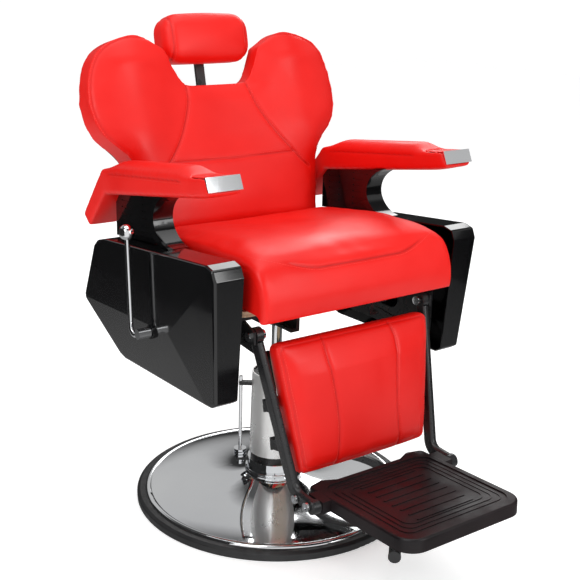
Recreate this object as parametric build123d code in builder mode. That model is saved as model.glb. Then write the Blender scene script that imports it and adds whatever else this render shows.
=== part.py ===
from build123d import *
import os
from math import cos, hypot, radians, sin

# Hydraulic barber chair.  Millimetres, +Z up, the chair faces -Y, +X is the sitter's left hand
# side seen from the front.  The origin is on the floor, on the axis of the pump column.

os.makedirs("parts", exist_ok=True)

# ---- driving dimensions -------------------------------------------------------------------
BASE_RADIUS = 325
RING_HEIGHT = 21
RING_WIDTH = 27
CASING_BOTTOM = 110
CASING_TOP = 310
CASING_FOOT_RADIUS = 59
CASING_HEAD_RADIUS = 55
RAM_RADIUS = 12
RUNNING_CLEARANCE = 0.05
TURRET_BOTTOM = 430
COVER_INNER = 277                       # |x| of the inner face of the side covers
COVER_OUTER = 345
ARM_INNER = 262
ARM_OUTER = 341
SEAT_HALF_WIDTH = 256
BACK_HINGE = (175, 552)                 # (y, z) of the recline axis
LEG_HINGE = (-237, 510)                 # (y, z) of the leg rest axis
CRANK = (20, -58)                      # from each of those axes to its link pin
BACK_LEAN = 13.2                        # degrees back from upright
BACK_THICKNESS = 82
FOOT_HINGE = (-389, 191)                # (y, z) of the footplate axis
LEVER_AZIMUTH = -57                     # direction of the pump lever in plan, degrees from +X
PIN_RADIUS = 6

LEAN_UP = (0, sin(radians(BACK_LEAN)), cos(radians(BACK_LEAN)))
LEAN_FRONT = (0, -cos(radians(BACK_LEAN)), sin(radians(BACK_LEAN)))
BACK_ORIGIN = (0, 160, 645)             # where the seat meets the front of the backrest
SIDES = (("left", -1), ("right", 1))    # as seen from in front of the chair, -X is left


def save(builder, name):
    """Label one finished piece and write its STEP file."""
    builder.part.label = name
    export_step(builder.part, f"parts/{name}.step")


def back_plane(behind=0):
    """The plane of the backrest's front face, moved back by some millimetres."""
    origin = [BACK_ORIGIN[i] - behind * LEAN_FRONT[i] for i in range(3)]
    return Plane(origin=tuple(origin), x_dir=(1, 0, 0), z_dir=LEAN_FRONT)


def block(x0, x1, y0, y1, z0, z1, mode=Mode.ADD):
    """A box between two corners, in the part that is being built."""
    with Locations(((x0 + x1) / 2, (y0 + y1) / 2, (z0 + z1) / 2)):
        Box(abs(x1 - x0), abs(y1 - y0), abs(z1 - z0), mode=mode)


def x_cylinder(x0, x1, centre, radius, mode=Mode.ADD):
    """A cylinder along X between two stations, centred on (y, z)."""
    with Locations(Location(((x0 + x1) / 2, centre[0], centre[1]), (0, 90, 0))):
        Cylinder(radius, abs(x1 - x0), mode=mode)


def z_cylinder(centre, radius, z0, z1, mode=Mode.ADD):
    """An upright cylinder centred on (x, y) between two heights."""
    with Locations((centre[0], centre[1], (z0 + z1) / 2)):
        Cylinder(radius, abs(z1 - z0), mode=mode)


# ---- floor ring, base plate and dish --------------------------------------------------------
with BuildPart() as floor_ring:
    with BuildSketch(Plane.XZ):
        with BuildLine():
            Polyline(
                (BASE_RADIUS - RING_WIDTH, 0),
                (BASE_RADIUS, 0),
                (BASE_RADIUS, RING_HEIGHT - 5),
                (BASE_RADIUS - 7, RING_HEIGHT),
                (BASE_RADIUS - RING_WIDTH, RING_HEIGHT),
                close=True,
            )
        make_face()
    revolve(axis=Axis.Z)
    lower_edges = floor_ring.edges().filter_by(GeomType.CIRCLE).sort_by(SortBy.RADIUS)[-2:]
    fillet(lower_edges, 3)
save(floor_ring, "floor_ring")

NECK_RADIUS = 66
NECK_HEIGHT = 57
DISH_EDGE = BASE_RADIUS - 19
with BuildPart() as base_dish:
    with BuildSketch(Plane.XZ):
        with BuildLine():
            flare = Spline(
                (NECK_RADIUS, NECK_HEIGHT),
                (NECK_RADIUS + 42, NECK_HEIGHT - 13),
                (DISH_EDGE - 110, NECK_HEIGHT - 24),
                (DISH_EDGE - 14, RING_HEIGHT + 4.5),
            )
            bead = RadiusArc(flare @ 1, (DISH_EDGE, RING_HEIGHT), 9)
            Polyline(
                bead @ 1,
                (DISH_EDGE - 22, RING_HEIGHT),
                (DISH_EDGE - 110, NECK_HEIGHT - 28),
                (NECK_RADIUS + 42, NECK_HEIGHT - 18),
                (NECK_RADIUS, NECK_HEIGHT - 6),
                flare @ 0,
            )
        make_face()
    revolve(axis=Axis.Z)
save(base_dish, "base_dish")

with BuildPart() as base_plate:
    z_cylinder((0, 0), BASE_RADIUS - RING_WIDTH - 0.2, 0, 8)
    z_cylinder((0, 0), 62, 8, NECK_HEIGHT - 1)
save(base_plate, "base_plate")


# ---- pump: flange, casing, cylinder ---------------------------------------------------------
with BuildPart() as pump_collar:
    z_cylinder((0, 0), 68, NECK_HEIGHT, 62)
    z_cylinder((0, 0), 65, 62, 66)
    z_cylinder((0, 0), 68.5, 66, 71)
    z_cylinder((0, 0), 61, 71, 77)
    z_cylinder((0, 0), 63.5, 77, 94)
    z_cylinder((0, 0), 46, NECK_HEIGHT, 94, mode=Mode.SUBTRACT)
    rims = pump_collar.edges().filter_by(GeomType.CIRCLE).group_by(SortBy.RADIUS)[-1]
    fillet(rims, 1.8)
    chamfer(pump_collar.edges().filter_by(GeomType.CIRCLE).group_by(Axis.Z)[-1], 1)
save(pump_collar, "pump_collar")

with BuildPart() as pump_band:
    z_cylinder((0, 0), 56, 94, CASING_BOTTOM)
    z_cylinder((0, 0), 46, 94, CASING_BOTTOM, mode=Mode.SUBTRACT)
save(pump_band, "pump_band")

with BuildPart() as pump_casing:
    with BuildSketch(Plane.XZ):
        with BuildLine():
            Polyline(
                (CASING_FOOT_RADIUS, CASING_BOTTOM),
                (CASING_HEAD_RADIUS, CASING_TOP),
                (CASING_HEAD_RADIUS - 3, CASING_TOP),
                (CASING_FOOT_RADIUS - 3, CASING_BOTTOM + 3),
                (46, CASING_BOTTOM + 3),
                (46, CASING_BOTTOM),
                close=True,
            )
        make_face()
    revolve(axis=Axis.Z)
save(pump_casing, "pump_casing")

PUMP_RADIUS = 45.9
PUMP_TOP = CASING_TOP - 12
with BuildPart() as pump_cylinder:
    z_cylinder((0, 0), PUMP_RADIUS, NECK_HEIGHT - 1, PUMP_TOP - 14)
    z_cylinder((0, 0), 30, PUMP_TOP - 14, PUMP_TOP)
    z_cylinder((0, 0), RAM_RADIUS + RUNNING_CLEARANCE, 66, PUMP_TOP, mode=Mode.SUBTRACT)
    chamfer(pump_cylinder.edges().filter_by(GeomType.CIRCLE).group_by(Axis.Z)[-1].sort_by(SortBy.RADIUS)[-1], 3)
save(pump_cylinder, "pump_cylinder")

with BuildPart() as casing_cap:
    z_cylinder((0, 0), CASING_HEAD_RADIUS - 3.1, CASING_TOP - 8, CASING_TOP - 4)
    z_cylinder((0, 0), RAM_RADIUS + 4, CASING_TOP - 8, CASING_TOP - 4, mode=Mode.SUBTRACT)
save(casing_cap, "casing_cap")

# ---- upright rod beside the casing, in a foot bracket on the collar and a clip on the casing ----
ROD_PLACE = (-65, 49)
ROD_ANGLE = 143
with BuildPart() as rod_brackets:
    for level, reach, width, hug in ((82, 74, 24, 63.6), (272, 68, 14, CASING_HEAD_RADIUS + 0.9)):
        with BuildSketch(Plane.XY.offset(level)):
            with Locations(Location((0, 0), ROD_ANGLE)):
                with Locations((reach, 0)):
                    RectangleRounded(36, width, 4)
            Circle(hug, mode=Mode.SUBTRACT)
            with Locations(ROD_PLACE):
                Circle(3 if level < 100 else 4, mode=Mode.SUBTRACT)
        extrude(amount=8)
save(rod_brackets, "rod_brackets")

with BuildPart() as side_rod:
    z_cylinder(ROD_PLACE, 2.95, 76, 90)
    z_cylinder(ROD_PLACE, 4, 90, CASING_TOP - 16)
    chamfer(side_rod.edges().filter_by(GeomType.CIRCLE).group_by(Axis.Z)[-1], 1)
save(side_rod, "side_rod")

with BuildPart() as rod_discs:
    for level in (90.1, 97.1, 104.1):
        z_cylinder(ROD_PLACE, 15, level, level + 5)
    z_cylinder(ROD_PLACE, 9, 70, 81.9)
    z_cylinder(ROD_PLACE, 4, 90, 110, mode=Mode.SUBTRACT)
    z_cylinder(ROD_PLACE, 3, 70, 82, mode=Mode.SUBTRACT)
save(rod_discs, "rod_discs")

# ---- foot lever of the pump ---------------------------------------------------------------------
LEVER_PLANE = Plane(
    origin=(0, 0, 0),
    x_dir=(cos(radians(LEVER_AZIMUTH)), sin(radians(LEVER_AZIMUTH)), 0),
    z_dir=(sin(radians(LEVER_AZIMUTH)), -cos(radians(LEVER_AZIMUTH)), 0),
)
LEVER_PIN = (84, 104)                   # (distance from the column, height)
LEVER_THICKNESS = 10
LEVER_END = (309, 60)
PEDAL_TIP = (-28, -468, 60)
PEDAL_ROD_RADIUS = 7
SLEEVE_LENGTH = 128
SLEEVE_RADIUS = 12.7

with BuildPart() as lever_bracket:
    for offset_distance in (LEVER_THICKNESS / 2 + 0.5, -LEVER_THICKNESS / 2 - 5.5):
        with BuildSketch(LEVER_PLANE.offset(offset_distance)):
            with BuildLine():
                Polyline((58, 84), (84, 84), (97, 96), (97, 112), (90, 116), (58, 116), close=True)
            make_face()
            with Locations(LEVER_PIN):
                Circle(PIN_RADIUS, mode=Mode.SUBTRACT)
        extrude(amount=5)
    z_cylinder((0, 0), 63.6, 80, 94, mode=Mode.SUBTRACT)
    z_cylinder((0, 0), 59.4, 94, 120, mode=Mode.SUBTRACT)
save(lever_bracket, "lever_bracket")

with BuildPart() as lever_pin:
    with BuildSketch(LEVER_PLANE.offset(-14)):
        with Locations(LEVER_PIN):
            Circle(PIN_RADIUS)
    extrude(amount=28)
    for face_offset in (-14, 14):
        with BuildSketch(LEVER_PLANE.offset(face_offset)):
            with Locations(LEVER_PIN):
                Circle(9)
        extrude(amount=3 if face_offset > 0 else -3)
save(lever_pin, "lever_pin")

lever_end_point = LEVER_PLANE.from_local_coords((LEVER_END[0], LEVER_END[1], 0))
rod_direction = (Vector(PEDAL_TIP) - lever_end_point).normalized()
rod_length = (Vector(PEDAL_TIP) - lever_end_point).length
with BuildPart() as pump_lever:
    with BuildSketch(LEVER_PLANE.offset(-LEVER_THICKNESS / 2)):
        with BuildLine():
            arch = Spline(LEVER_PIN, (168, 128), (254, 118), (292, 94), LEVER_END)
        trace(arch, 18)
        with Locations(LEVER_PIN):
            Circle(11)
        with Locations(LEVER_END):
            Circle(12)
        with Locations(LEVER_PIN):
            Circle(PIN_RADIUS + RUNNING_CLEARANCE, mode=Mode.SUBTRACT)
    extrude(amount=LEVER_THICKNESS)
    with BuildSketch(Plane(origin=lever_end_point, z_dir=rod_direction)):
        Circle(PEDAL_ROD_RADIUS)
    extrude(amount=rod_length - 4)
save(pump_lever, "pump_lever")

sleeve_foot = Vector(PEDAL_TIP) - rod_direction * SLEEVE_LENGTH
with BuildPart() as pedal_sleeve:
    with BuildSketch(Plane(origin=sleeve_foot, z_dir=rod_direction)):
        Circle(SLEEVE_RADIUS)
        with PolarLocations(SLEEVE_RADIUS, 18):
            Circle(1, mode=Mode.SUBTRACT)
    extrude(amount=SLEEVE_LENGTH)
    with BuildSketch(Plane(origin=sleeve_foot, z_dir=rod_direction)):
        Circle(PEDAL_ROD_RADIUS)
    extrude(amount=SLEEVE_LENGTH - 4, mode=Mode.SUBTRACT)
    for collar_at in (0, SLEEVE_LENGTH - 6):
        with BuildSketch(Plane(origin=sleeve_foot + rod_direction * collar_at, z_dir=rod_direction)):
            Circle(SLEEVE_RADIUS + 0.8)
            Circle(SLEEVE_RADIUS - 2, mode=Mode.SUBTRACT)
        extrude(amount=6)
save(pedal_sleeve, "pedal_sleeve")

# ---- ram and turret -------------------------------------------------------------------------------
with BuildPart() as ram:
    z_cylinder((0, 0), RAM_RADIUS, 168, TURRET_BOTTOM + 40)
    chamfer(ram.edges().filter_by(GeomType.CIRCLE), 1)
save(ram, "ram")

BOARD_BOTTOM = 546
CROSSBAR = 10
with BuildPart() as turret:
    z_cylinder((0, 0), 32, TURRET_BOTTOM, 480)
    z_cylinder((0, 0), 40, TURRET_BOTTOM + 34, 480)
    block(-125, 125, -125, 105, 480, 488)
    for rail_side in (-1, 1):
        block(rail_side * 96, rail_side * 104, -212, 100, 488, BOARD_BOTTOM - CROSSBAR)
        block(rail_side * 96, rail_side * 118, -212, 100, 488, 494)
    for gusset in ((-6, 0), (90, 0), (180, 0), (270, 0)):
        with BuildSketch(Plane.XZ.rotated((0, 0, gusset[0])).offset(-3)):
            with BuildLine():
                Polyline((28, TURRET_BOTTOM + 6), (28, 480), (84, 480), close=True)
            make_face()
        extrude(amount=6)
    z_cylinder((0, 0), RAM_RADIUS + RUNNING_CLEARANCE, TURRET_BOTTOM, TURRET_BOTTOM + 40, mode=Mode.SUBTRACT)
    fillet(turret.edges().filter_by(GeomType.CIRCLE).group_by(Axis.Z)[0].sort_by(SortBy.RADIUS)[-1], 3)
save(turret, "turret")

with BuildPart() as turret_bolts:
    for bolt_x in (-85, 85):
        for bolt_y in (-100, 80):
            with BuildSketch(Plane.XY.offset(472)):
                with Locations((bolt_x, bolt_y)):
                    RegularPolygon(9, 6)
            extrude(amount=8)
save(turret_bolts, "turret_bolts")

# ---- seat frame ---------------------------------------------------------------------------------------
with BuildPart() as crossbars:
    for bar_rear, bar_front in ((-165, -215), (95, 50)):
        block(-263.8, 263.8, bar_front, bar_rear, BOARD_BOTTOM - CROSSBAR, BOARD_BOTTOM)
save(crossbars, "crossbars")

with BuildPart() as seat_board:
    with BuildSketch(Plane.XY.offset(BOARD_BOTTOM)):
        with Locations((0, -45)):
            RectangleRounded(500, 360, 20)
    extrude(amount=12)
save(seat_board, "seat_board")

with BuildPart() as seat_cushion:
    with BuildSketch(Plane.YZ.offset(-SEAT_HALF_WIDTH)):
        with BuildLine():
            crown = Spline((149, 642), (20, 662), (-200, 668), (-266, 656))
            front = Spline(crown @ 1, (-292, 632), (-308, 580), (-306, 546))
            Polyline(front @ 1, (-298, 540), (-286, 541), (-284, 558.3), (130, 558.3), (149, 642))
        make_face()
    extrude(amount=2 * SEAT_HALF_WIDTH)
    fillet(seat_cushion.faces().filter_by(GeomType.PLANE).sort_by(Axis.X)[0].edges().sort_by(Axis.Z)[-2:], 16)
    fillet(seat_cushion.faces().filter_by(GeomType.PLANE).sort_by(Axis.X)[-1].edges().sort_by(Axis.Z)[-2:], 16)
save(seat_cushion, "seat_cushion")

# ---- steel side plates, with the pins that the backrest turns on -----------------------------------
for side_name, side in SIDES:
    with BuildPart() as side_plate:
        with BuildSketch(Plane.YZ.offset(side * 264)) as plate_outline:
            with BuildLine():
                Polyline(
                    (-225, 625), (-225, 420), (-150, 400), (90, 400), (205, 470), (205, 600), (160, 618),
                    close=True,
                )
            make_face()
            fillet(plate_outline.vertices(), 14)
            with Locations((-40, 470)):
                SlotOverall(150, 50, mode=Mode.SUBTRACT)
            with Locations(BACK_HINGE):
                Circle(PIN_RADIUS, mode=Mode.SUBTRACT)
        extrude(amount=side * 5)
    save(side_plate, f"side_plate_{side_name}")

with BuildPart() as back_pins:
    for side_name, side in SIDES:
        x_cylinder(side * 194, side * 269, BACK_HINGE, PIN_RADIUS)
        x_cylinder(side * 269, side * 274, BACK_HINGE, 10)
        x_cylinder(side * 190, side * 194, BACK_HINGE, 8.5)
        x_cylinder(side * 208, side * 263.8, BACK_HINGE, 9)
save(back_pins, "back_pins")

with BuildPart() as leg_brackets:
    for side_name, side in SIDES:
        with BuildSketch(Plane.YZ.offset(side * 233)) as bracket_outline:
            with BuildLine():
                Polyline(
                    (-215, BOARD_BOTTOM - CROSSBAR), (-252, 522), (-252, 496), (-222, 493),
                    (-168, 524), (-165, BOARD_BOTTOM - CROSSBAR), close=True,
                )
            make_face()
            fillet(bracket_outline.vertices().group_by(Axis.Y)[0], 12)
            with Locations(LEG_HINGE):
                Circle(PIN_RADIUS, mode=Mode.SUBTRACT)
        extrude(amount=side * 5)
save(leg_brackets, "leg_brackets")

with BuildPart() as leg_pins:
    for side_name, side in SIDES:
        x_cylinder(side * 209, side * 238, LEG_HINGE, PIN_RADIUS)
        x_cylinder(side * 205, side * 209, LEG_HINGE, 10)
        with BuildSketch(Plane.YZ.offset(side * 238)):
            with Locations(LEG_HINGE):
                RegularPolygon(9.5, 6)
        extrude(amount=side * 6)
save(leg_pins, "leg_pins")

# ---- side covers: thin moulded shells with three flat facets ----------------------------------------
COVER_WALL = 3
KINK = Vector(COVER_OUTER, -99, 495)
REAR_CORNER = Vector(COVER_OUTER, 283, 473)
FRONT_CORNER = Vector(COVER_OUTER, -268, 656)
BOTTOM_CREASE = Vector(COVER_OUTER - 15, -232, 372)
LEVER_HUB = (-33, 479)                  # (y, z) of the recline lever's shaft


def facet_plane(a, b, c, side):
    """A plane through three points, mirrored for the side, with its normal pointing outwards."""
    points = [Vector(side * p.X, p.Y, p.Z) for p in (a, b, c)]
    normal = (points[1] - points[0]).cross(points[2] - points[0]).normalized()
    if normal.X * side < 0:
        normal = normal * -1
    return Plane(origin=points[0], z_dir=normal)


COVER_OUTLINE = [
    (-272, 645), (-262, 666), (-238, 672), (176, 631), (214, 620), (230, 606), (283, 480),
    (280, 466), (262, 454), (138, 374), (115, 368), (-238, 377), (-255, 388),
]

for side_name, side in SIDES:
    facets = (
        facet_plane(REAR_CORNER, KINK, BOTTOM_CREASE, side),
        facet_plane(FRONT_CORNER, KINK, BOTTOM_CREASE, side),
    )
    with BuildPart() as cover_cavity:
        with BuildSketch(Plane.YZ.offset(side * (COVER_INNER - 1))):
            with BuildLine():
                Polyline(*COVER_OUTLINE, close=True)
            make_face()
            offset(amount=-COVER_WALL, mode=Mode.REPLACE)
        extrude(amount=side * (COVER_OUTER - COVER_INNER - COVER_WALL + 1))
        for facet in facets:
            split(bisect_by=facet.offset(-COVER_WALL), keep=Keep.BOTTOM)

    with BuildPart() as side_cover:
        with BuildSketch(Plane.YZ.offset(side * COVER_INNER)):
            with BuildLine():
                Polyline(*COVER_OUTLINE, close=True)
            make_face()
        extrude(amount=side * (COVER_OUTER - COVER_INNER))
        for facet in facets:
            split(bisect_by=facet, keep=Keep.BOTTOM)
        outer_faces = [face for face in side_cover.faces() if face.normal_at().X * side > 0.9]
        rim_edges = [
            edge for edge in side_cover.edges()
            if abs(edge.tangent_at(0.5).X) > 0.9
            or sum(any(edge.is_same(other) for other in face.edges()) for face in outer_faces) == 1
        ]
        fillet(rim_edges, 7)
        add(cover_cavity.part, mode=Mode.SUBTRACT)
        with BuildSketch(Plane.YZ.offset(side * (COVER_OUTER - 1))):
            with BuildLine():
                Polyline((222, 560), (216, 524), (118, 498), (122, 520), (150, 540), (166, 538), close=True)
            make_face()
            offset(amount=-4, kind=Kind.INTERSECTION, mode=Mode.SUBTRACT)
        extrude(amount=side * 1.8)
        if side < 0:
            x_cylinder(-COVER_INNER - 25, -COVER_OUTER - 4, LEVER_HUB, 15)
            x_cylinder(-COVER_INNER - 20, -COVER_OUTER - 5, LEVER_HUB, 6.05, mode=Mode.SUBTRACT)
    save(side_cover, f"side_cover_{side_name}")

# ---- arm panels: moulded plates with ribbed front edges and louvre grooves ----------------------------
PANEL_INNER = 276
PANEL_OUTER = 301
RIB_INNER = 264
GROOVE_DEPTH = 1.5
FRONT_GROOVES = 6
REAR_GROOVES = 5
GROOVE_PITCH = 15


for side_name, side in SIDES:
    with BuildPart() as arm_panel:
        with BuildSketch(Plane.YZ.offset(side * PANEL_INNER)):
            with BuildLine():
                Polyline(
                    (-29, 763.2), (10, 735), (22, 716), (25, 700), (21, 684), (7, 668), (-20, 652.5),
                    (200, 629.8), (200, 708.5), (182, 728.6), close=True,
                )
            make_face()
        extrude(amount=side * (PANEL_OUTER - PANEL_INNER))
        with BuildSketch(Plane.YZ.offset(side * RIB_INNER)) as rib_outline:
            with BuildLine():
                outer_curve = Spline((-42, 766), (-13, 752), (9, 731), (16, 700), (-3, 671), (-24, 659), (-48, 653.8))
                inner_curve = Spline((-16, 761.5), (8, 749), (27, 731), (35, 700), (19, 668), (7, 657), (-8, 650.3))
                Line(outer_curve @ 0, inner_curve @ 0)
                Line(outer_curve @ 1, inner_curve @ 1)
            make_face()
        extrude(amount=side * (ARM_OUTER - 30 - RIB_INNER))
        for face_x, depth in ((PANEL_OUTER, -GROOVE_DEPTH), (PANEL_INNER, GROOVE_DEPTH)):
            with BuildSketch(Plane.YZ.offset(side * face_x)):
                for row in range(FRONT_GROOVES):
                    with Locations((60, 664 + row * GROOVE_PITCH)):
                        SlotOverall(44, 3.2, rotation=-6)
                    with Locations((33 if row % 5 else 30, 665 + row * GROOVE_PITCH)):
                        Circle(2)
                for row in range(REAR_GROOVES):
                    with Locations((158, 656 + row * GROOVE_PITCH)):
                        SlotOverall(34, 3.2, rotation=-6)
                    with Locations((134, 658 + row * GROOVE_PITCH)):
                        Circle(2)
            extrude(amount=side * depth, mode=Mode.SUBTRACT)
    save(arm_panel, f"arm_panel_{side_name}")

# ---- arm pads, with a chromed ashtray let into each front end ------------------------------------------
ASHTRAY_BACK = -169
ASHTRAY_FLOOR = 811
POCKET_INNER = 270                      # |x| of the pocket in the arm pad that holds the ashtray
POCKET_OUTER = 333
for side_name, side in SIDES:
    with BuildPart() as arm_pad:
        with BuildSketch(Plane.YZ.offset(side * ARM_INNER)) as arm_outline:
            with BuildLine():
                Polyline(
                    (-240, 800), (183, 729), (262, 638), (292, 664), (196, 783), (-100, 820),
                    (-229.7, 836.4), (-242.4, ASHTRAY_FLOOR), (-246, 810.6), close=True,
                )
            make_face()
            fillet(arm_outline.vertices().sort_by(Axis.Y)[-1], 14)
            fillet(arm_outline.vertices().filter_by_position(Axis.Y, 190, 200), 30)
        extrude(amount=side * (ARM_OUTER - ARM_INNER))
        block(
            side * POCKET_INNER, side * POCKET_OUTER, -260, ASHTRAY_BACK, ASHTRAY_FLOOR, 860,
            mode=Mode.SUBTRACT,
        )
    save(arm_pad, f"arm_pad_{side_name}")

    with BuildPart() as ashtray:
        with BuildSketch(Plane.YZ.offset(side * (ARM_INNER + 1))):
            with BuildLine():
                Polyline((-245.5, 811.2), (-242.6, 811.2), (-230.1, 837), (-233, 838), close=True)
            make_face()
        extrude(amount=side * (ARM_OUTER - ARM_INNER - 2))
        with BuildSketch(Plane.YZ.offset(side * (POCKET_INNER + 0.3))):
            with BuildLine():
                Polyline(
                    (-243.6, ASHTRAY_FLOOR + 0.3), (-232.4, 833.3), (ASHTRAY_BACK - 0.3, 825.4),
                    (ASHTRAY_BACK - 0.3, ASHTRAY_FLOOR + 0.3), close=True,
                )
            make_face()
        extrude(amount=side * (POCKET_OUTER - POCKET_INNER - 0.6))
        with BuildSketch(Plane.YZ.offset(side * (POCKET_INNER + 3.5))):
            with BuildLine():
                Polyline(
                    (-238.5, ASHTRAY_FLOOR + 4), (-227, 850), (ASHTRAY_BACK - 4, 850),
                    (ASHTRAY_BACK - 4, ASHTRAY_FLOOR + 4), close=True,
                )
            make_face()
        extrude(amount=side * (POCKET_OUTER - POCKET_INNER - 7), mode=Mode.SUBTRACT)
    save(ashtray, f"ashtray_{side_name}")

    with BuildPart() as ashtray_lid:
        with BuildSketch(Plane.YZ.offset(side * (POCKET_INNER + 0.4))):
            with BuildLine():
                Polyline(
                    (-230.8, 833.4), (-229.9, 836.3), (ASHTRAY_BACK - 0.4, 828.6),
                    (ASHTRAY_BACK - 0.4, 825.6), close=True,
                )
            make_face()
        extrude(amount=side * (POCKET_OUTER - POCKET_INNER - 0.8))
    save(ashtray_lid, f"ashtray_lid_{side_name}")

# ---- recline lever on the left cover ----------------------------------------------------------------------
LEVER_X = -372
with BuildPart() as recline_lever:
    with BuildLine() as lever_line:
        FilletPolyline(
            (LEVER_X, LEVER_HUB[0] + 4, LEVER_HUB[1] - 2),
            (LEVER_X, 5, 462),
            (LEVER_X, 17.5, 676),
            radius=16,
        )
    with BuildSketch(Plane(origin=lever_line.line @ 0, z_dir=lever_line.line % 0)):
        Circle(5.2)
    sweep()
    x_cylinder(COVER_INNER * -1 - 8, LEVER_X - 7, LEVER_HUB, 6)
    x_cylinder(-COVER_OUTER - 6, LEVER_X - 7, LEVER_HUB, 11)
save(recline_lever, "recline_lever")

with BuildPart() as recline_knob:
    with Locations((LEVER_X, 18, 684)):
        Sphere(16.5)
    with BuildSketch(Plane(origin=lever_line.line @ 1, z_dir=lever_line.line % 1)):
        Circle(5.25)
    extrude(amount=-15, mode=Mode.SUBTRACT)
save(recline_knob, "recline_knob")

# ---- backrest -------------------------------------------------------------------------------------------------
NOTCH_HALF_WIDTH = 84
NOTCH_BOTTOM = 318
with BuildPart() as back_cushion:
    with BuildSketch(back_plane(BACK_THICKNESS)) as back_outline:
        with BuildLine():
            bottom = Line((0, -38), (232, -38))
            waist = Line((232, -38), (252, 118))
            wing = Spline(
                (252, 118), (272, 160), (318, 205), (340, 265), (334, 338), (304, 398),
                (240, 430), (178, 430), (132, 404), (108, 360),
                tangents=((0.13, 1), (-0.4, -1)),
            )
            notch_side = Line(wing @ 1, (NOTCH_HALF_WIDTH, NOTCH_BOTTOM))
            Line((NOTCH_HALF_WIDTH, NOTCH_BOTTOM), (0, NOTCH_BOTTOM))
            Line((0, NOTCH_BOTTOM), (0, -38))
        make_face()
        mirror(about=Plane.YZ)
        notch_corners = back_outline.vertices().filter_by_position(Axis.Y, NOTCH_BOTTOM - 1, NOTCH_BOTTOM + 1)
        fillet(notch_corners, 24)
    extrude(amount=BACK_THICKNESS)
save(back_cushion, "back_cushion")

BOARD_BEHIND = BACK_THICKNESS + 0.3
BOARD_THICKNESS = 14
with BuildPart() as back_board:
    with BuildSketch(back_plane(BOARD_BEHIND + BOARD_THICKNESS)) as board_outline:
        with BuildLine():
            Line((0, -24), (216, -24))
            Line((216, -24), (236, 118))
            board_wing = Spline(
                (236, 118), (258, 165), (302, 212), (322, 265), (316, 332), (288, 384),
                (232, 412), (184, 412), (146, 390), (122, 350),
                tangents=((0.13, 1), (-0.4, -1)),
            )
            Line(board_wing @ 1, (100, 300))
            Line((100, 300), (0, 300))
            Line((0, 300), (0, -24))
        make_face()
        mirror(about=Plane.YZ)
    extrude(amount=BOARD_THICKNESS)
save(back_board, "back_board")

STRAP_BEHIND = BOARD_BEHIND + BOARD_THICKNESS + 0.05
LINK_INNER = 186                        # |x| of the inner face of the link bars
SPRING_X = 170                          # the gas spring hangs on the right bracket's pin
CRANK_PIN = (BACK_HINGE[0] + CRANK[0], BACK_HINGE[1] + CRANK[1])


def behind_board(along, behind):
    """The (y, z) of a point so far up the backrest and so far behind its front face."""
    y = BACK_ORIGIN[1] + along * LEAN_UP[1] - behind * LEAN_FRONT[1]
    z = BACK_ORIGIN[2] + along * LEAN_UP[2] - behind * LEAN_FRONT[2]
    return (y, z)


for side_name, side in SIDES:
    with BuildPart() as back_bracket:
        with BuildSketch(Plane.YZ.offset(side * 200)) as bracket_outline:
            with BuildLine():
                Polyline(
                    behind_board(170, STRAP_BEHIND), behind_board(170, STRAP_BEHIND + 14),
                    behind_board(-30, STRAP_BEHIND + 26), behind_board(-62, STRAP_BEHIND + 14),
                    (BACK_HINGE[0] + 2, BACK_HINGE[1] - 18), (BACK_HINGE[0] - 12, BACK_HINGE[1] + 14),
                    behind_board(-48, STRAP_BEHIND - 20), behind_board(-44, STRAP_BEHIND), close=True,
                )
            make_face()
            with Locations(BACK_HINGE):
                Circle(20)
            with BuildLine():
                Polyline(
                    (BACK_HINGE[0] - 19, BACK_HINGE[1]), (CRANK_PIN[0] - 13, CRANK_PIN[1]),
                    (CRANK_PIN[0] + 13, CRANK_PIN[1]), (BACK_HINGE[0] + 19, BACK_HINGE[1]), close=True,
                )
            make_face()
            with Locations(CRANK_PIN):
                Circle(13)
            with Locations(BACK_HINGE):
                Circle(PIN_RADIUS + RUNNING_CLEARANCE, mode=Mode.SUBTRACT)
        extrude(amount=side * 6)
        with BuildSketch(back_plane(STRAP_BEHIND + 4)):
            with Locations((side * 214, 66)):
                RectangleRounded(36, 200, 6)
                with Locations((0, 80), (0, 0), (0, -80)):
                    Circle(4, mode=Mode.SUBTRACT)
        extrude(amount=4)
        pin_end = LINK_INNER - 2 if side < 0 else SPRING_X - 8
        x_cylinder(side * 200, side * pin_end, CRANK_PIN, PIN_RADIUS - 1)
        x_cylinder(side * pin_end, side * (pin_end - 3), CRANK_PIN, 8)
    save(back_bracket, f"back_bracket_{side_name}")

with BuildPart() as back_bolts:
    with BuildSketch(back_plane(STRAP_BEHIND + 4 + 4.4)):
        for side_name, side in SIDES:
            for along in (-14, 66, 146):
                with Locations((side * 214, along)):
                    Circle(8)
    extrude(amount=4.4)
save(back_bolts, "back_bolts")

# ---- headrest on its flat post -----------------------------------------------------------------------------
POST_BEHIND = STRAP_BEHIND + 4.4
POST_THICKNESS = 7
POST_WIDTH = 24
with BuildPart() as headrest_guide:
    with BuildSketch(back_plane(POST_BEHIND + POST_THICKNESS + 5)):
        with Locations((0, 220)):
            RectangleRounded(90, 130, 8)
    extrude(amount=POST_THICKNESS + 9.3)
    with BuildSketch(back_plane(POST_BEHIND + POST_THICKNESS + 0.05)):
        with Locations((0, 220)):
            Rectangle(POST_WIDTH + 0.1, 140)
    extrude(amount=POST_THICKNESS + 0.1, mode=Mode.SUBTRACT)
    with BuildSketch(back_plane(POST_BEHIND + POST_THICKNESS + 30)):
        with Locations((0, 250)):
            Circle(16)
    extrude(amount=25)
save(headrest_guide, "headrest_guide")

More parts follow.
